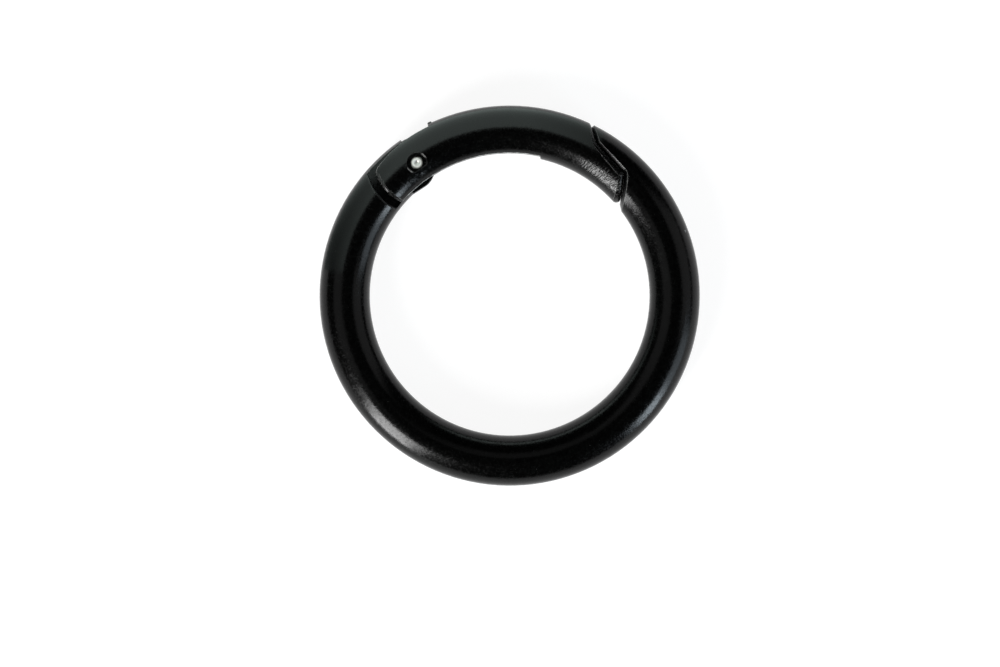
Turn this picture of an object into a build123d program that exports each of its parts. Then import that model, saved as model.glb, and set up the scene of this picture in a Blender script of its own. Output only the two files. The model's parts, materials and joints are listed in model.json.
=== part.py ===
from build123d import *
import os
from math import cos, degrees, radians, sin, sqrt

# A round ring of cast metal whose upper arc is a sprung gate. The gate swings inwards on a steel pin
# at the upper left and shuts under a stepped lip at the upper right. Millimetres and degrees. The
# origin is the ring's centre, the ring lies in the XY plane, and angles run anticlockwise from +X.

# Ring
EYE_DIAMETER = 25.0
BAR_DIAMETER = 4.5

# Hinge
HINGE_ANGLE = 125.0
PIN_INSET = 0.3                # pin axis inside the bar's centre line
PIN_DIAMETER = 1.0
PIN_SEAT_CLEARANCE = 0.01      # radial, in the gate's cheeks, where the pin is staked
PIN_RUNNING_CLEARANCE = 0.04   # radial, in the tongue, which turns on the pin
PIN_END_INSET = 0.03
PIN_DIMPLE_DIAMETER = 0.45
PIN_DIMPLE_DEPTH = 0.1
STAKE_DIAMETER = 1.8           # shallow groove pressed around each end of the pin
STAKE_DEPTH = 0.18
TAIL_RADIUS = 3.75             # the gate's tail is an arc about the pin
TAIL_ROUND = 0.3
TAIL_CORNER_ROUND = 0.8        # in plan, at the outer end of the tail
CHEEK_RELIEF_ANGLE = 119.0     # from here to the tail the cheeks' outer edge draws in
CHEEK_RELIEF_RADIUS = 11.4     # of that edge in plan
SHOULDER_GAP = 0.7             # between the tail and the ring's hollow shoulder
SHOULDER_ROUND = 0.15

# Tongue of the ring, between the gate's cheeks
SLOT_WIDTH = 2.0
TONGUE_SIDE_CLEARANCE = 0.05
TONGUE_END_RADIUS = 2.35
TONGUE_ROOT_ANGLE = 133.5      # beyond it the tongue has the round of the bar
CAM_FLAT = 1.45                # from the pin axis to the flat that the plunger rests on
CAM_LEVER = 0.58               # arm of the spring's push, and the cam's rise for each radian
CAM_TURN = 65.0
CAM_POINTS = 7

# Slot and spring bore of the gate
BORE_ANGLE = 103.0             # where the spring's line passes nearest to the ring's centre
SLOT_OUTER_END_ANGLE = 115.6
SLOT_INNER_END_ANGLE = 77.3
SLOT_ROOF_INSET = 0.15         # the slot's roof inside the bar's centre line
BORE_DIAMETER = 1.7
BORE_DEPTH = 1.2
NUB_DIAMETER = 0.42            # pip left by casting where the slot ends outside
NUB_RISE = 0.12
NUB_ROUND = 0.12

# Latch seam
LIP_ANGLE = 64.9
STEP_START_ANGLE = 60.4
STEP_START_RISE = 0.86         # outside the bar's centre line
STEP_END_ANGLE = 47.0
STEP_END_RISE = 0.16
SEAM_GAP = 0.02
STEP_CORNER_ROUND = 0.5        # in plan, at each end of the step
NOSE_ROUND = 0.4               # of the gate's edges at the seam
LIP_BEVEL = 0.35               # of the ring's edges at the seam

# Plunger and spring
PLUNGER_HEAD_CLEARANCE = 0.05
PLUNGER_CAM_CLEARANCE = 0.03
PLUNGER_HEAD_THICKNESS = 0.8
PLUNGER_HEAD_ROUND = 0.1
PLUNGER_SHANK_DIAMETER = 0.75
PLUNGER_SHANK_LENGTH = 2.4
SPRING_DIAMETER = 1.5
SPRING_WIRE = 0.26
SPRING_TURNS = 12
SPRING_END_CLEARANCE = 0.02

# Derived sizes
BAR_RADIUS = BAR_DIAMETER / 2
EYE_RADIUS = EYE_DIAMETER / 2
CENTRE_RADIUS = EYE_RADIUS + BAR_RADIUS
OUTER_RADIUS = EYE_RADIUS + BAR_DIAMETER
INSIDE = EYE_RADIUS / 2                        # cutting outlines stand well clear of the bar
OUTSIDE = OUTER_RADIUS + BAR_DIAMETER
TALL = 2 * BAR_DIAMETER
TONGUE_THICKNESS = SLOT_WIDTH - 2 * TONGUE_SIDE_CLEARANCE
CHEEK_EDGE_RADIUS = CENTRE_RADIUS + sqrt(BAR_RADIUS**2 - (SLOT_WIDTH / 2) ** 2)
TAIL_SPAN = degrees(TAIL_RADIUS / CENTRE_RADIUS)
PLUNGER_HEAD_DIAMETER = SLOT_WIDTH - 2 * PLUNGER_HEAD_CLEARANCE
SLOT_ROOF = CENTRE_RADIUS - SLOT_ROOF_INSET
SPRING_LINE = SLOT_ROOF - PLUNGER_HEAD_CLEARANCE - PLUNGER_HEAD_DIAMETER / 2


def polar(radius, angle):
    """The point at a radius and an angle about the ring's centre."""
    return Vector(radius * cos(radians(angle)), radius * sin(radians(angle)))


PIN = polar(CENTRE_RADIUS - PIN_INSET, HINGE_ANGLE)
PIN_SURFACE = sqrt(BAR_RADIUS**2 - PIN_INSET**2)       # the bar's surface above the pin axis

# The spring's frame: X runs along the spring from hinge to nose, Y points out of the ring.
SPRING_FRAME = Plane((0, 0, 0), x_dir=polar(1, BORE_ANGLE - 90), z_dir=(0, 0, 1))
PIN_ALONG = PIN.dot(SPRING_FRAME.x_dir)
PIN_OUT = PIN.dot(SPRING_FRAME.y_dir)
SLOT_END = EYE_RADIUS * sin(radians(BORE_ANGLE - SLOT_INNER_END_ANGLE))
SLOT_OUTER_END = OUTER_RADIUS * sin(radians(BORE_ANGLE - SLOT_OUTER_END_ANGLE))
BORE_END = SLOT_END + BORE_DEPTH
HEAD_FACE = PIN_ALONG + CAM_FLAT + PLUNGER_CAM_CLEARANCE
HEAD_BACK = HEAD_FACE + PLUNGER_HEAD_THICKNESS
SPRING_START = HEAD_BACK + SPRING_END_CLEARANCE
SPRING_END = BORE_END - SPRING_END_CLEARANCE


def plate(outline, height):
    """A flat outline as a solid, with half of its height each side of the ring's middle plane."""
    return extrude(outline, amount=height / 2, both=True)


def disc(radius):
    """A flat disc about the pin axis."""
    return Pos(PIN.X, PIN.Y) * Circle(radius)


def rod(start, end, diameter):
    """A cylinder on the spring's line, between two distances along the spring's frame."""
    upright = Cylinder(diameter / 2, end - start, align=(Align.CENTER, Align.CENTER, Align.MIN))
    return SPRING_FRAME * Pos(start, SPRING_LINE) * Rot(0, 90, 0) * upright


def window(start, end, low, high):
    """A rectangle in the spring's frame: along the spring from start to end, outwards from low to high."""
    corner = Rectangle(end - start, high - low, align=(Align.MIN, Align.MIN))
    return SPRING_FRAME * Pos(start, low) * corner


def at_both_faces(shape):
    """A shape above the ring's middle plane, with its mirror image below."""
    return shape + mirror(shape, Plane.XY)


def gate_arc():
    """Plan of the gate from hinge to seam: lip cut, long step and nose, which is an arc about the pin."""
    lip = polar(OUTER_RADIUS, LIP_ANGLE)
    step_start = polar(CENTRE_RADIUS + STEP_START_RISE, STEP_START_ANGLE)
    step_end = polar(CENTRE_RADIUS + STEP_END_RISE, STEP_END_ANGLE)
    outline = Polyline(
        lip + (lip - step_start) * 3,
        step_start,
        step_end * 2 - step_start,
        polar(INSIDE, STEP_END_ANGLE / 2),
        polar(INSIDE, HINGE_ANGLE),
        polar(OUTSIDE, HINGE_ANGLE),
        close=True,
    )
    plan = make_face(outline) & disc((step_end - PIN).length)
    corners = [plan.vertices().sort_by_distance(corner)[0] for corner in (step_start, step_end)]
    return fillet(corners, STEP_CORNER_ROUND)


def sawn_edges(shape, side):
    """The edges where the bar's round skin meets a parting face: side 1 for the latch, -1 for the hinge."""
    return [edge for edge in shape.edges().filter_by(GeomType.BSPLINE) if edge.center().X * side > 0]


def ring_blank():
    """The ring's bar with the gate's place cut out of it, and the edges of the cut rounded."""
    mouth = offset(gate_arc(), SEAM_GAP) + disc(TAIL_RADIUS + SHOULDER_GAP)
    blank = Torus(CENTRE_RADIUS, BAR_RADIUS) - plate(mouth, TALL)
    blank = chamfer(sawn_edges(blank, 1), LIP_BEVEL)
    return fillet(sawn_edges(blank, -1), SHOULDER_ROUND)


def tongue_root():
    """The tongue's round-edged length, from inside the ring's shoulder to the lug at the pin."""
    far_angle = HINGE_ANGLE + 60
    sector = make_face(
        Polyline(
            polar(INSIDE, TONGUE_ROOT_ANGLE),
            polar(CENTRE_RADIUS, TONGUE_ROOT_ANGLE),
            polar(CENTRE_RADIUS, HINGE_ANGLE),
            polar(2 * OUTSIDE, HINGE_ANGLE),
            polar(2 * OUTSIDE, far_angle),
            polar(INSIDE, far_angle),
            close=True,
        )
    )
    reach = TAIL_RADIUS + SHOULDER_GAP + BAR_RADIUS
    return Torus(CENTRE_RADIUS, BAR_RADIUS) & plate(sector & disc(reach), TONGUE_THICKNESS)


def cam_point(turn):
    """Where the plunger's face meets the cam, in the spring's frame, once the gate has turned by turn.

    The cam is an involute about the pin, so the plunger moves by CAM_LEVER for each radian.
    """
    rise = CAM_FLAT + CAM_LEVER * turn
    along = rise * cos(turn) - CAM_LEVER * sin(turn)
    inwards = rise * sin(turn) + CAM_LEVER * cos(turn)
    return Vector(PIN_ALONG + along, PIN_OUT - inwards)


def lug():
    """Plan of the tongue's end about the pin: a round outer end, a flat for the plunger, and the cam."""
    cam = [cam_point(radians(CAM_TURN) * k / (CAM_POINTS - 1)) for k in range(CAM_POINTS)]
    outer = SPRING_FRAME.to_local_coords(polar(PIN.length + TONGUE_END_RADIUS, HINGE_ANGLE))
    crown = Vector(PIN_ALONG, PIN_OUT + TONGUE_END_RADIUS)
    flat_top = Vector(PIN_ALONG + CAM_FLAT, PIN_OUT + sqrt(TONGUE_END_RADIUS**2 - CAM_FLAT**2))
    root_inner = SPRING_FRAME.to_local_coords(polar(EYE_RADIUS, TONGUE_ROOT_ANGLE))
    root_outer = SPRING_FRAME.to_local_coords(polar(CENTRE_RADIUS, TONGUE_ROOT_ANGLE))
    outline = [
        ThreePointArc(outer, crown, flat_top),
        Line(flat_top, cam[0]),
        Spline(cam),
        Line(cam[-1], root_inner),
        Line(root_inner, root_outer),
        Line(root_outer, outer),
    ]
    return SPRING_FRAME * make_face(outline)


def ring_body():
    """The ring's long arc, in one casting with the tongue that turns on the hinge pin."""
    tongue = tongue_root() + plate(lug(), TONGUE_THICKNESS)
    pin_hole = plate(disc(PIN_DIAMETER / 2 + PIN_RUNNING_CLEARANCE), TALL)
    return ring_blank() + tongue - pin_hole


def gate_blank():
    """The gate's bar, with its nose and its tail rounded."""
    blank = Torus(CENTRE_RADIUS, BAR_RADIUS) & plate(gate_arc() + disc(TAIL_RADIUS), TALL)
    blank = fillet(sawn_edges(blank, 1), NOSE_ROUND)
    return fillet(sawn_edges(blank, -1), TAIL_ROUND)


def tail_relief():
    """Plan of what is taken off the cheeks outside the tail, so that their edge draws in to a round corner."""
    outside = make_face(
        Polyline(
            polar(CENTRE_RADIUS, CHEEK_RELIEF_ANGLE),
            polar(2 * OUTSIDE, CHEEK_RELIEF_ANGLE),
            polar(2 * OUTSIDE, HINGE_ANGLE + 2 * TAIL_SPAN),
            polar(CENTRE_RADIUS, HINGE_ANGLE + 2 * TAIL_SPAN),
            close=True,
        )
    )
    centre = polar(CHEEK_EDGE_RADIUS - CHEEK_RELIEF_RADIUS, CHEEK_RELIEF_ANGLE)
    kept = outside & disc(TAIL_RADIUS) & Pos(centre.X, centre.Y) * Circle(CHEEK_RELIEF_RADIUS)
    corner = kept.vertices().sort_by_distance(polar(CHEEK_EDGE_RADIUS, HINGE_ANGLE + TAIL_SPAN))[0]
    return outside - fillet(corner, TAIL_CORNER_ROUND)


def slot():
    """The slot between the cheeks: open outside only at the hinge, and inside as far as the spring."""
    behind = PIN_ALONG - 2 * TAIL_RADIUS
    outer = window(behind, SLOT_OUTER_END, 0, OUTSIDE)
    inner = window(behind, SLOT_END, 0, SLOT_ROOF)
    return plate(outer + inner, SLOT_WIDTH)


def stake_groove():
    """The groove that staking leaves around each end of the pin."""
    ring = disc(STAKE_DIAMETER / 2) - disc(PIN_DIAMETER / 2 + PIN_SEAT_CLEARANCE)
    return at_both_faces(Pos(0, 0, PIN_SURFACE - STAKE_DEPTH) * extrude(ring, amount=BAR_RADIUS))


def nub():
    """The small pip that stands out of the bar where the slot ends outside."""
    pip = Cylinder(NUB_DIAMETER / 2, 2 * NUB_DIAMETER, align=(Align.CENTER, Align.CENTER, Align.MAX))
    rim = pip.edges().filter_by(GeomType.CIRCLE).sort_by(Axis.Z)[-1]
    beside_slot = SLOT_OUTER_END_ANGLE - degrees(NUB_DIAMETER / 2 / OUTER_RADIUS)
    top = polar(OUTER_RADIUS + NUB_RISE, beside_slot)
    return Plane(top, x_dir=(0, 0, 1), z_dir=top) * fillet(rim, NUB_ROUND)


def gate():
    """The gate: a fork at the hinge, a slot and a bore for the spring, and a plain nose."""
    pin_seat = plate(disc(PIN_DIAMETER / 2 + PIN_SEAT_CLEARANCE), TALL)
    bore = rod(0, BORE_END, BORE_DIAMETER)
    fork = gate_blank() - plate(tail_relief(), TALL) - slot()
    return fork - bore - pin_seat - stake_groove() + nub()


def pivot_pin():
    """The steel hinge pin, with a centre dimple in each end."""
    length = 2 * (PIN_SURFACE - PIN_END_INSET)
    dimple_radius = PIN_DIMPLE_DIAMETER / 2
    ball = (dimple_radius**2 + PIN_DIMPLE_DEPTH**2) / (2 * PIN_DIMPLE_DEPTH)
    height = length / 2 - PIN_DIMPLE_DEPTH + ball
    dimples = at_both_faces(Pos(PIN.X, PIN.Y, height) * Sphere(ball))
    return plate(disc(PIN_DIAMETER / 2), length) - dimples


def spring_plunger():
    """The turned steel plunger: a flat head that rides on the cam, and a shank inside the spring."""
    head = rod(HEAD_FACE, HEAD_BACK, PLUNGER_HEAD_DIAMETER)
    head = fillet(head.edges().filter_by(GeomType.CIRCLE), PLUNGER_HEAD_ROUND)
    middle = (HEAD_FACE + HEAD_BACK) / 2
    return head + rod(middle, HEAD_BACK + PLUNGER_SHANK_LENGTH, PLUNGER_SHANK_DIAMETER)


def gate_spring():
    """The coil spring, ground flat at both ends."""
    length = SPRING_END - SPRING_START
    pitch = length / SPRING_TURNS
    coil = Helix(pitch, length + 2 * SPRING_WIRE, (SPRING_DIAMETER - SPRING_WIRE) / 2)
    wire = sweep(Plane(coil @ 0, z_dir=coil % 0) * Circle(SPRING_WIRE / 2), path=coil)
    ground = Cylinder(SPRING_DIAMETER, length, align=(Align.CENTER, Align.CENTER, Align.MIN))
    wound = (Pos(0, 0, -SPRING_WIRE) * wire) & ground
    return SPRING_FRAME * Pos(SPRING_START, SPRING_LINE) * Rot(0, 90, 0) * wound


os.makedirs("parts", exist_ok=True)
for piece in (ring_body, gate, pivot_pin, spring_plunger, gate_spring):
    export_step(piece(), f"parts/{piece.__name__}.step")
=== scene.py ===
import json
import math

import bpy
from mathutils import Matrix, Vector


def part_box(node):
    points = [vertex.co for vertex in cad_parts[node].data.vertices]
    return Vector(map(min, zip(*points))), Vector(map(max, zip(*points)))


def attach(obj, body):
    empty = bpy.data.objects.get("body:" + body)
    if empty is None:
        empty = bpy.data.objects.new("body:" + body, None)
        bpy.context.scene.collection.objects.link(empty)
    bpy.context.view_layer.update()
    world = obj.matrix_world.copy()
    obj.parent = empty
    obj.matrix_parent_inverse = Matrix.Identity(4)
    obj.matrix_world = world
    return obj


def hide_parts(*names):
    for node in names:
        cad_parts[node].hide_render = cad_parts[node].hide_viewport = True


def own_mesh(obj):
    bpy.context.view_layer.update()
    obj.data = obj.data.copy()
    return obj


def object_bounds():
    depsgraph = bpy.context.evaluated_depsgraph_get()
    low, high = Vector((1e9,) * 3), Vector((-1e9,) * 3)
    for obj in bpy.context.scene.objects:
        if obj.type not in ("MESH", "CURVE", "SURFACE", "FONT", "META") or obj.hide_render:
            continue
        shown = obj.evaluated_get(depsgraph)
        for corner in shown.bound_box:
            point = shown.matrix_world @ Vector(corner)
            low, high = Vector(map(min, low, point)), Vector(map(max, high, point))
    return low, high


# A black enamelled spring gate ring lying on pale paper. Everything is in metres. The ring's
# centre is the origin, it lies in the XY plane, and the hinge of its gate is at the upper left.

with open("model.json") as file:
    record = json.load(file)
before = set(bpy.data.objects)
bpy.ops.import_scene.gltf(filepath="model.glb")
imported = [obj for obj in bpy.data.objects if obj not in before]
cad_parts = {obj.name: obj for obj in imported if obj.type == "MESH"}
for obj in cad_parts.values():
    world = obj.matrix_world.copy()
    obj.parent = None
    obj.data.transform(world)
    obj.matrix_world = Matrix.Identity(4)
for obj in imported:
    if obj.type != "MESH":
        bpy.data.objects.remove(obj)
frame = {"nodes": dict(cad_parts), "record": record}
cad_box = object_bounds()
nodes = frame["nodes"]
joints = {joint["name"]: joint for joint in frame["record"]["behaviour"]["joints"]}

MM = 0.001


# Node trees


def put(tree, kind, inputs=None, **settings):
    """A node with its settings, and each input given a value or linked to a socket."""
    node = tree.nodes.new(kind)
    for name, value in settings.items():
        setattr(node, name, value)
    for key, value in (inputs or {}).items():
        if isinstance(value, bpy.types.NodeSocket):
            tree.links.new(value, node.inputs[key])
        else:
            node.inputs[key].default_value = value
    return node


def maths(tree, operation, first, second=0.0):
    return put(tree, "ShaderNodeMath", {0: first, 1: second}, operation=operation).outputs[0]


def vector_maths(tree, operation, first, second=None):
    """The one number of an operation that gives a number, and otherwise its vector."""
    sockets = {0: first} if second is None else {0: first, 1: second}
    outputs = put(tree, "ShaderNodeVectorMath", sockets, operation=operation).outputs
    return outputs["Vector" if operation == "SUBTRACT" else "Value"]


def product(tree, first, *others):
    for other in others:
        first = maths(tree, "MULTIPLY", first, other)
    return first


def wave(tree, run, pitch):
    """A wave from -1 to 1 that comes back at this pitch along the run."""
    return maths(tree, "SINE", product(tree, run, math.tau / pitch))


def spread(tree, value, low, high, to_low=0.0, to_high=1.0):
    """The value's range from low to high, stretched over another and held at its ends."""
    sockets = {
        "Value": value,
        "From Min": low,
        "From Max": high,
        "To Min": to_low,
        "To Max": to_high,
    }
    return put(tree, "ShaderNodeMapRange", sockets).outputs[0]


def grain(tree, place, size, detail=3.0, roughness=0.5):
    """Irregular noise with features of about this size."""
    sockets = {"Vector": place, "Scale": 1 / size, "Detail": detail, "Roughness": roughness}
    return put(tree, "ShaderNodeTexNoise", sockets).outputs["Fac"]


def relief(tree, height, depth, under=None):
    """Relief of this depth, laid over an earlier one."""
    sockets = {"Height": height, "Distance": depth}
    if under:
        sockets["Normal"] = under
    return put(tree, "ShaderNodeBump", sockets).outputs[0]


def blend_colours(tree, share, first, second):
    """The first colour where the share is 0, and the second where it is 1."""
    node = put(tree, "ShaderNodeMix", data_type="RGBA")
    tree.links.new(share, node.inputs["Factor"])
    for name, colour in (("A", first), ("B", second)):
        socket = next(s for s in node.inputs if s.name == name and s.type == "RGBA")
        if isinstance(colour, bpy.types.NodeSocket):
            tree.links.new(colour, socket)
        else:
            socket.default_value = (*colour, 1)
    return next(s for s in node.outputs if s.type == "RGBA")


def new_material(name):
    material = bpy.data.materials.new(name)
    material.use_nodes = True
    tree = material.node_tree
    return material, tree, tree.nodes["Principled BSDF"]


def bare_material(name):
    """A material whose tree is empty, and that tree."""
    material = bpy.data.materials.new(name)
    material.use_nodes = True
    material.node_tree.nodes.clear()
    return material, material.node_tree


def object_place(tree):
    return put(tree, "ShaderNodeTexCoord").outputs["Object"]


def parts_of(tree, place):
    return put(tree, "ShaderNodeSeparateXYZ", {0: place}).outputs


def about_centre(tree, place):
    """Distance from the Z axis, and the angle about it."""
    x, y, _ = parts_of(tree, place)
    flat = put(tree, "ShaderNodeCombineXYZ", {0: x, 1: y}).outputs[0]
    return vector_maths(tree, "LENGTH", flat), maths(tree, "ARCTAN2", y, x)


def line_of(joint):
    """A point on the joint's line, and the line's direction."""
    start = Vector(joints[joint].get("pos_m", (0, 0, 0)))
    return start, Vector(joints[joint]["axis"]).normalized()


def about_pin(tree, place):
    """Distance from the pin's axis, and the angle about it."""
    centre, _ = line_of("gate_hinge")
    return about_centre(tree, vector_maths(tree, "SUBTRACT", place, centre))


# Marks on the enamelled castings, and where painted highlights lie on them


def staking(tree, place):
    """Low, uneven swellings that staking the pin left around its groove."""
    lobe_count, lobe_turn = 4.0, 0.6
    rises, falls = (0.88 * MM, 0.98 * MM), (1.12 * MM, 1.4 * MM)
    patch_size, lowest = 0.35 * MM, 0.2
    radius, angle = about_pin(tree, place)
    turned = maths(tree, "ADD", product(tree, angle, lobe_count), lobe_turn)
    lobes = spread(tree, maths(tree, "SINE", turned), -1.0, 1.0)
    uneven = spread(tree, grain(tree, place, patch_size), 0.35, 0.65, lowest, 1.0)
    inner = spread(tree, radius, *rises)
    outer = spread(tree, radius, *falls, 1.0, 0.0)
    return product(tree, product(tree, lobes, uneven), product(tree, inner, outer))


def groove_glints(tree, place):
    """1 away from the pin, and round its groove only at two opposite spots, which are painted
    glints.
    """
    glint_angle, glint_count = math.radians(48), 2.0
    glint_edge, between_glints = (0.7, 0.95), 0.05
    beyond_groove = (1.3 * MM, 1.6 * MM)
    radius, angle = about_pin(tree, place)
    turned = product(tree, maths(tree, "SUBTRACT", angle, glint_angle), glint_count)
    marks = spread(tree, maths(tree, "COSINE", turned), *glint_edge, between_glints, 1.0)
    return maths(tree, "MAXIMUM", marks, spread(tree, radius, *beyond_groove))


def chatter(tree, place):
    """Fine, broken ripples across the inside of the gate's nose, left by dressing the casting;
    their crests also carry a painted highlight.
    """
    pitch, slant = 0.29 * MM, 0.35
    ripple_radius = 13.6 * MM
    sway_size, sway = 0.45 * MM, 0.55 * MM
    gap_size, in_gaps = 0.3 * MM, 0.15
    first, full = math.radians(64), math.radians(52)
    outer_side, inner_side, inner_share = (14.4 * MM, 13.9 * MM), (12.9 * MM, 13.3 * MM), 0.25
    radius, angle = about_centre(tree, place)
    run = maths(tree, "ADD", product(tree, angle, ripple_radius), product(tree, radius, slant))
    run = maths(tree, "ADD", run, product(tree, grain(tree, place, sway_size, 2.0), sway))
    broken = spread(tree, grain(tree, place, gap_size, 2.0, 0.6), 0.38, 0.62, in_gaps, 1.0)
    along = spread(tree, angle, first, full)
    inside = spread(tree, radius, *outer_side)
    inside = product(tree, inside, spread(tree, radius, *inner_side, inner_share, 1.0))
    ripples = product(tree, wave(tree, run, pitch), broken)
    return product(tree, ripples, product(tree, along, inside))


def open_edges(tree, width, bend, open_sky):
    """1 on sharp outward edges and 0 on open faces and in corners that face inwards."""
    still_flat, rays = 0.998, 6
    shade_reach, shade_step = 0.25 * MM, 0.25
    rounded = put(tree, "ShaderNodeBevel", {"Radius": width}, samples=rays).outputs[0]
    flat = put(tree, "ShaderNodeNewGeometry").outputs["Normal"]
    facing = vector_maths(tree, "DOT_PRODUCT", rounded, flat)
    shade = put(tree, "ShaderNodeAmbientOcclusion", {"Distance": shade_reach}, samples=rays)
    sky = spread(tree, shade.outputs["AO"], open_sky - shade_step, open_sky)
    return product(tree, spread(tree, facing, still_flat, bend), sky)


def chip(tree, place):
    """1 in the small ragged chip on the outer shoulder of the ring, and 0 elsewhere."""
    radius, azimuth, size = 16.7 * MM, math.radians(20.3), 0.19 * MM
    tooth, raggedness = 0.1 * MM, 2.2
    solid, gone = 1.3, 1.7
    outer_radius, _, bar_radius = cad_box[1]
    tilt = (radius - (outer_radius - bar_radius)) / bar_radius
    height = bar_radius * math.sqrt(1 - tilt * tilt)
    centre = (radius * math.cos(azimuth), radius * math.sin(azimuth), height)
    away = vector_maths(tree, "DISTANCE", place, centre)
    ragged = product(tree, grain(tree, place, tooth, 2.0), size * raggedness)
    ragged = maths(tree, "ADD", away, ragged)
    return spread(tree, ragged, size * solid, size * gone, 1.0, 0.0)


# Black enamel

DEEP_BLACK = (0.0003, 0.0003, 0.0003)
THIN_BLACK = (0.0009, 0.001, 0.0009)
DUST = (0.3, 0.3, 0.29)
RIPPLE_CREST_HIGHLIGHT = (0.09, 0.09, 0.088)
CHIPPED_ZINC = (0.24, 0.24, 0.235)
# Edge colours: partly enamel worn thin, partly a painted highlight.
BODY_EDGE_WEAR_AND_HIGHLIGHT = (0.16, 0.16, 0.155)
GATE_EDGE_WEAR_AND_HIGHLIGHT = (0.4, 0.4, 0.385)
BODY_EDGES = {"width": 0.1 * MM, "bend": 0.965, "open_sky": 0.8}
GATE_EDGES = {"width": 0.13 * MM, "bend": 0.99, "open_sky": 0.65}

MOTTLE, FINE_GRAIN, SLOW_SWELL, DUST_SIZE = 0.55 * MM, 0.2 * MM, 1.3 * MM, 0.09 * MM
SWELL_RELIEF, GRAIN_RELIEF = 0.008 * MM, 0.0068 * MM
RIPPLE_RELIEF, STAKING_RELIEF = 0.009 * MM, 0.022 * MM
DUST_SHARE = 0.25
MOTTLE_ROUGHNESS, GRAIN_ROUGHNESS = (0.15, 0.21), (0.0, 0.13)
ENAMEL_IOR, ENAMEL_SPECULAR = 1.45, 0.2


def black_enamel(name, dressed):
    """Stoved black enamel over zinc: glossy, faintly uneven, worn thin on its sharp edges, which
    are also painted lighter as a painted highlight.

    The gate is dressed, with ripples on its nose whose crests are painted lighter as a painted
    highlight, and the marks of staking round its pin. The ring's body has the chip instead.
    """
    material, tree, shader = new_material(name)
    place = object_place(tree)
    mottle = grain(tree, place, MOTTLE, 4.0, 0.6)
    fine = grain(tree, place, FINE_GRAIN, 3.0, 0.65)

    edges = open_edges(tree, **(GATE_EDGES if dressed else BODY_EDGES))
    # Lighter colour on sharp edges, partly wear and partly a painted highlight; on the gate it
    # shows round the pin's groove only as two painted glints.
    edge_wear_and_highlight = product(tree, edges, spread(tree, mottle, 0.35, 0.6, 0.35, 1.0))
    if dressed:
        edge_wear_and_highlight = product(tree, edge_wear_and_highlight, groove_glints(tree, place))
    coat = blend_colours(tree, spread(tree, mottle, 0.35, 0.7), DEEP_BLACK, THIN_BLACK)
    coat = blend_colours(tree, edge_wear_and_highlight, coat, GATE_EDGE_WEAR_AND_HIGHLIGHT if dressed else BODY_EDGE_WEAR_AND_HIGHLIGHT)
    specks = spread(tree, grain(tree, place, DUST_SIZE, 1.0), 0.8, 0.84)
    coat = blend_colours(tree, product(tree, specks, DUST_SHARE), coat, DUST)
    if dressed:
        ripples = chatter(tree, place)
        # Ripple crests painted lighter: a painted highlight over the real relief.
        coat = blend_colours(tree, spread(tree, ripples, 0.1, 0.9), coat, RIPPLE_CREST_HIGHLIGHT)
    else:
        coat = blend_colours(tree, chip(tree, place), coat, CHIPPED_ZINC)
    tree.links.new(coat, shader.inputs["Base Color"])

    roughness = spread(tree, mottle, 0.3, 0.7, *MOTTLE_ROUGHNESS)
    rougher = spread(tree, fine, 0.45, 0.68, *GRAIN_ROUGHNESS)
    roughness = maths(tree, "ADD", roughness, rougher)
    tree.links.new(roughness, shader.inputs["Roughness"])
    shader.inputs["IOR"].default_value = ENAMEL_IOR
    shader.inputs["Specular IOR Level"].default_value = ENAMEL_SPECULAR

    surface = relief(tree, grain(tree, place, SLOW_SWELL, 2.0), SWELL_RELIEF)
    surface = relief(tree, fine, GRAIN_RELIEF, surface)
    if dressed:
        surface = relief(tree, ripples, RIPPLE_RELIEF, surface)
        surface = relief(tree, staking(tree, place), STAKING_RELIEF, surface)
    tree.links.new(surface, shader.inputs["Normal"])
    return material


# Bare steel

# Each tint multiplies the steel's own value.
IN_STREAKS, BETWEEN_STREAKS = (0.8, 0.78, 0.75), (1, 0.97, 0.94)
STAINED, DARKENED = (0.45, 0.42, 0.38), (0.22, 0.21, 0.19)
STAIN_SIZE, STAIN_MOST = 0.5 * MM, 0.35


def steel(name, value, roughness, streaks, depth, darkening=None):
    """Bare steel whose roughness and relief follow its streaks, darker where the darkening mask, if
    given, lies.
    """

    def tint(parts):
        return tuple(value * part for part in parts)

    material, tree, shader = new_material(name)
    place = object_place(tree)
    marks = streaks(tree, place)
    clean = spread(tree, marks, 0.25, 0.75)
    tone = blend_colours(tree, clean, tint(IN_STREAKS), tint(BETWEEN_STREAKS))
    stain = spread(tree, grain(tree, place, STAIN_SIZE, 4.0), 0.55, 0.75, 0.0, STAIN_MOST)
    tone = blend_colours(tree, stain, tone, tint(STAINED))
    # On the pin: painted shade in its dimple, and darker round its rim.
    if darkening:
        tone = blend_colours(tree, darkening(tree, place), tone, tint(DARKENED))
    tree.links.new(tone, shader.inputs["Base Color"])
    shader.inputs["Metallic"].default_value = 1
    smoothest, roughest = roughness * 0.85, roughness * 1.15
    streaked = spread(tree, marks, 0.2, 0.8, smoothest, roughest)
    tree.links.new(streaked, shader.inputs["Roughness"])
    tree.links.new(relief(tree, marks, depth), shader.inputs["Normal"])
    return material


def turned_end(tree, place):
    """Rings about the pin's axis, left where its ends were turned."""
    pitch, wobble_size, wobble = 0.07 * MM, 0.2 * MM, 0.05 * MM
    radius, _ = about_pin(tree, place)
    uneven = product(tree, grain(tree, place, wobble_size), wobble)
    rings = wave(tree, maths(tree, "ADD", radius, uneven), pitch)
    return spread(tree, rings, -1.0, 1.0, 0.3, 0.7)


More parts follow.
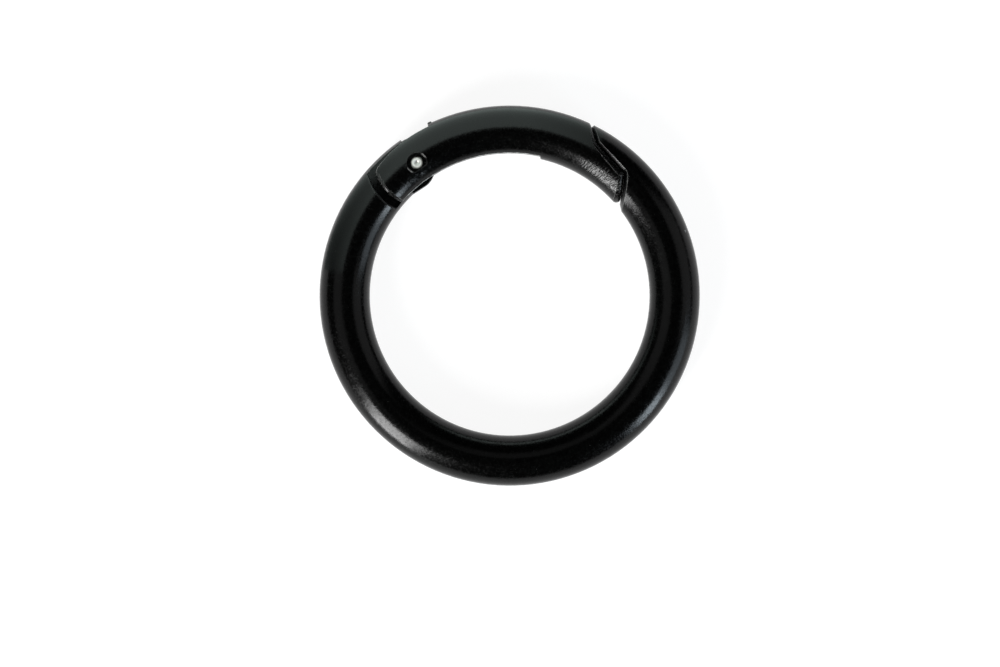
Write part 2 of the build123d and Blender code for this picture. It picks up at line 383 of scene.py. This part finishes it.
def pin_dimple_shade_and_dark_rim(tree, place):
    """Painted shade in the dimple of the pin's end, and darker round its rim."""
    radius, _ = about_pin(tree, place)
    dimple_edge, rim_edge = (0.18 * MM, 0.3 * MM), (0.38 * MM, 0.47 * MM)
    in_dimple, on_rim = 0.7, 0.95
    dimple = spread(tree, radius, *dimple_edge, in_dimple, 0.0)
    rim = spread(tree, radius, *rim_edge, 0.0, on_rim)
    return maths(tree, "MAXIMUM", dimple, rim)


def turned_rings(tree, place):
    """Turning marks round the plunger, at even steps along it."""
    pitch, uneven_size, uneven_share = 0.09 * MM, 0.12 * MM, 0.4
    _, axis = line_of("plunger_slide")
    rings = wave(tree, vector_maths(tree, "DOT_PRODUCT", place, axis), pitch)
    uneven = product(tree, grain(tree, place, uneven_size), uneven_share)
    return maths(tree, "ADD", spread(tree, rings, -1.0, 1.0, 0.15, 0.6), uneven)


def drawn_streaks(tree, place):
    """The fine, irregular skin of drawn and coiled wire."""
    return grain(tree, place, 0.06 * MM, 4.0, 0.7)


def finish(name, material):
    nodes[name].data.materials.clear()
    nodes[name].data.materials.append(material)


finish("ring_body", black_enamel("black_enamel_ring_body", dressed=False))
finish("gate", black_enamel("black_enamel_gate", dressed=True))
finish("pivot_pin", steel("bright_steel", 0.8, 0.5, turned_end, 0.0004 * MM, pin_dimple_shade_and_dark_rim))
finish("spring_plunger", steel("turned_steel", 0.6, 0.3, turned_rings, 0.001 * MM))
spring_wire = steel("spring_wire", 0.5, 0.32, drawn_streaks, 0.0006 * MM)


# Spring

WIRE_DIAMETER = 0.26 * MM
TURNS = 12.0
POINTS_A_TURN = 40
WIRE_SIDES = 14
CLOSED_ENDS = ((0.12, 0.045), (0.88, 0.955))  # share of the turns, and share of the length


def between(name):
    """The middle of a node's box and the box's size."""
    low, high = (Vector(corner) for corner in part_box(name))
    return (low + high) / 2, high - low


def coil_tree(wire):
    """A tree that winds a compression spring along Z, its end turns closed up."""
    tree = bpy.data.node_groups.new("coil_spring", "GeometryNodeTree")
    face = tree.interface
    for name in ("Length", "Coil Radius", "Wire Radius", "Turns"):
        face.new_socket(name=name, in_out="INPUT", socket_type="NodeSocketFloat")
    face.new_socket(name="Spring", in_out="OUTPUT", socket_type="NodeSocketGeometry")
    given = tree.nodes.new("NodeGroupInput").outputs
    helix = {
        "Resolution": POINTS_A_TURN,
        "Rotations": given["Turns"],
        "Start Radius": given["Coil Radius"],
        "End Radius": given["Coil Radius"],
        "Height": given["Length"],
    }
    spiral = put(tree, "GeometryNodeCurveSpiral", helix).outputs[0]

    share = put(tree, "GeometryNodeSplineParameter").outputs["Factor"]
    ease = put(tree, "ShaderNodeFloatCurve", {"Value": share})
    curve = ease.mapping.curves[0]
    curve.points[0].location, curve.points[1].location = (0, 0), (1, 1)
    for turns, length in CLOSED_ENDS:
        curve.points.new(turns, length)
    ease.mapping.update()
    shift = product(tree, maths(tree, "SUBTRACT", ease.outputs[0], share), given["Length"])
    rise = put(tree, "ShaderNodeCombineXYZ", {2: shift}).outputs[0]
    moved = {"Geometry": spiral, "Offset": rise}
    spiral = put(tree, "GeometryNodeSetPosition", moved).outputs[0]

    circle = {"Resolution": WIRE_SIDES, "Radius": given["Wire Radius"]}
    section = put(tree, "GeometryNodeCurvePrimitiveCircle", circle).outputs[0]
    swept = {"Curve": spiral, "Profile Curve": section, "Fill Caps": True}
    wound = put(tree, "GeometryNodeCurveToMesh", swept).outputs[0]
    wound = put(tree, "GeometryNodeSetShadeSmooth", {0: wound}).outputs[0]
    wound = put(tree, "GeometryNodeRealizeInstances", {0: wound}).outputs[0]
    wired = {"Geometry": wound, "Material": wire}
    wound = put(tree, "GeometryNodeSetMaterial", wired).outputs[0]
    tree.links.new(wound, tree.nodes.new("NodeGroupOutput").inputs[0])
    return tree


def wind_spring():
    """The gate's spring, wound at one length along the plunger's line, though the real one shortens
    as the gate swings in.
    """
    middle, size = between("gate_spring")
    _, axis = line_of("plunger_slide")
    coil_width = size.z
    length = (size.x - coil_width * abs(axis.y)) / abs(axis.x)
    wound = bpy.data.objects.new("coil_spring", bpy.data.meshes.new("coil_spring"))
    bpy.context.scene.collection.objects.link(wound)
    tree = coil_tree(spring_wire)
    winder = wound.modifiers.new("winder", "NODES")
    winder.node_group = tree
    sizes = {
        "Length": length - WIRE_DIAMETER,
        "Coil Radius": (coil_width - WIRE_DIAMETER) / 2,
        "Wire Radius": WIRE_DIAMETER / 2,
        "Turns": TURNS,
    }
    for item in tree.interface.items_tree:
        if item.in_out == "INPUT":
            winder[item.identifier] = sizes[item.name]
    evaluated = wound.evaluated_get(bpy.context.evaluated_depsgraph_get())
    made = bpy.data.meshes.new_from_object(evaluated)
    wound.modifiers.clear()
    lay_along = axis.to_track_quat("Z", "Y").to_matrix().to_4x4()
    lay_along.translation = middle - axis * (length - WIRE_DIAMETER) / 2
    made.transform(lay_along)
    wound.data = made
    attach(wound, "gate")
    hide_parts("gate_spring")
    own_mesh(wound)


wind_spring()


# Floor

FLOOR_HALF = 1.5
FIBRE_SIZE, FIBRE_TONES = 0.5 * MM, (0.84, 0.86)
SEEN_SHADOW, SEEN_WHITE = 0.2, 0.91


def lay_floor():
    """Pale matt paper, which the camera, glossy and transmission rays all see as white."""
    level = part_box("ring_body")[0][2]
    corners = [
        (-FLOOR_HALF, -FLOOR_HALF, level),
        (FLOOR_HALF, -FLOOR_HALF, level),
        (FLOOR_HALF, FLOOR_HALF, level),
        (-FLOOR_HALF, FLOOR_HALF, level),
    ]
    mesh = bpy.data.meshes.new("floor")
    mesh.from_pydata(corners, [], [(0, 1, 2, 3)])
    floor = bpy.data.objects.new("floor", mesh)
    bpy.context.scene.collection.objects.link(floor)
    paper, tree = bare_material("white_paper")
    fibre = grain(tree, object_place(tree), FIBRE_SIZE, 4.0)
    fibre = spread(tree, fibre, 0.3, 0.7, *FIBRE_TONES)
    tone = put(tree, "ShaderNodeCombineColor", {0: fibre, 1: fibre, 2: fibre}).outputs[0]
    matt = put(tree, "ShaderNodeBsdfDiffuse", {"Color": tone}).outputs[0]
    shadow_tone = (SEEN_SHADOW, SEEN_SHADOW, SEEN_SHADOW, 1)
    seen_matt = put(tree, "ShaderNodeBsdfDiffuse", {"Color": shadow_tone}).outputs[0]
    shine = put(tree, "ShaderNodeEmission", {"Strength": SEEN_WHITE}).outputs[0]
    seen_paper = put(tree, "ShaderNodeAddShader", {0: seen_matt, 1: shine}).outputs[0]
    path = put(tree, "ShaderNodeLightPath").outputs
    mirrored = maths(tree, "MAXIMUM", path["Is Glossy Ray"], path["Is Transmission Ray"])
    seen = maths(tree, "MAXIMUM", path["Is Camera Ray"], mirrored)
    mix = put(tree, "ShaderNodeMixShader", {0: seen, 1: matt, 2: seen_paper}).outputs[0]
    put(tree, "ShaderNodeOutputMaterial", {"Surface": mix})
    floor.data.materials.append(paper)


lay_floor()


# Light

ROOM_LIGHT = 0.02
LAMP_DISTANCE = 0.4
PLAIN, COOL = (1, 1, 1), (0.8, 0.91, 1)

# Name, azimuths and elevations in degrees as the ring sees the lamp, radiance and colour
LAMPS = (
    ("left_lamp", (219, 237), (0.5, 44), 27, PLAIN),
    ("right_lamp", (316, 327), (0.5, 28), 19, COOL),
    ("right_lamp_edge", (327, 350), (1, 33), 3.5, COOL),
    ("left_fill", (140, 205), (37, 75), 0.5, PLAIN),
    ("right_fill", (-8, 32), (10, 53), 0.7, PLAIN),
    ("back_fill", (65, 120), (58, 80), 0.3, PLAIN),
)

CARD_SECTION = [(21.2, -2.2), (20.8, 1.1), (20.2, 3.5), (18.8, 5.7), (16.3, 6.7)]  # radius, Z in mm
CARD_FIRST, CARD_LAST, CARD_STEPS = math.radians(60), math.radians(172), 44
CARD_COLOUR = (0.86, 1, 0.955, 1)
CARD_LEFT_FADE, CARD_STRENGTHS = (-20 * MM, -12 * MM), (0.5, 2.5)
CARD_RIGHT_FADE, CARD_RIGHT_SHARE = (2 * MM, 10 * MM), 0.5

world = bpy.data.worlds.new("studio")
bpy.context.scene.world = world
world.use_nodes = True
background = world.node_tree.nodes["Background"]
background.inputs["Color"].default_value = (1, 1, 1, 1)
background.inputs["Strength"].default_value = ROOM_LIGHT


def soft_lamp(name, azimuths, elevations, radiance, colour):
    """A soft lamp that fills a range of azimuths and elevations as the ring sees it."""
    across, up = (math.radians(high - low) / 2 for low, high in (azimuths, elevations))
    a, e = math.radians(sum(azimuths) / 2), math.radians(sum(elevations) / 2)
    light = bpy.data.lights.new(name, "AREA")
    light.shape = "RECTANGLE"
    light.color = colour
    light.size = 2 * LAMP_DISTANCE * math.tan(across) * math.cos(e)
    light.size_y = 2 * LAMP_DISTANCE * math.tan(up)
    light.energy = radiance * math.pi * light.size * light.size_y
    lamp = bpy.data.objects.new(name, light)
    away = Vector((math.cos(a) * math.cos(e), math.sin(a) * math.cos(e), math.sin(e)))
    lamp.location = away * LAMP_DISTANCE
    lamp.rotation_euler = (-lamp.location).to_track_quat("-Z", "Y").to_euler()
    bpy.context.scene.collection.objects.link(lamp)


def reflector_card():
    """A bent card that shines close behind the top of the ring, seen only as a reflection."""
    points, faces = [], []
    for i in range(CARD_STEPS + 1):
        a = CARD_FIRST + (CARD_LAST - CARD_FIRST) * i / CARD_STEPS
        for radius, z in CARD_SECTION:
            points.append((radius * MM * math.cos(a), radius * MM * math.sin(a), z * MM))
    n = len(CARD_SECTION)
    for i in range(CARD_STEPS):
        for j in range(n - 1):
            k = i * n + j
            faces.append((k, k + 1, k + n + 1, k + n))
    mesh = bpy.data.meshes.new("reflector_card")
    mesh.from_pydata(points, [], faces)
    card = bpy.data.objects.new("reflector_card", mesh)
    bpy.context.scene.collection.objects.link(card)
    lit, tree = bare_material("lit_card")
    x = parts_of(tree, object_place(tree))["X"]
    left = spread(tree, x, *CARD_LEFT_FADE, *CARD_STRENGTHS)
    right = spread(tree, x, *CARD_RIGHT_FADE, 1.0, CARD_RIGHT_SHARE)
    sockets = {"Color": CARD_COLOUR, "Strength": product(tree, left, right)}
    shine = put(tree, "ShaderNodeEmission", sockets).outputs[0]
    put(tree, "ShaderNodeOutputMaterial", {"Surface": shine})
    mesh.materials.append(lit)
    card.visible_camera = False
    card.visible_diffuse = False
    card.visible_shadow = False


reflector_card()
for lamp_row in LAMPS:
    soft_lamp(*lamp_row)


# Camera

IMAGE_WIDTH = 89.4 * MM
DISTANCE = 700 * MM
FRAME_CENTRE = (-0.865 * MM, -3.385 * MM)
SENSOR = 36

camera_data = bpy.data.cameras.new("camera")
camera_data.sensor_width = SENSOR
camera_data.lens = SENSOR * DISTANCE / IMAGE_WIDTH
camera = bpy.data.objects.new("camera", camera_data)
camera.location = (*FRAME_CENTRE, DISTANCE)
bpy.context.scene.collection.objects.link(camera)
bpy.context.scene.camera = camera
bpy.context.scene.view_settings.view_transform = "Standard"
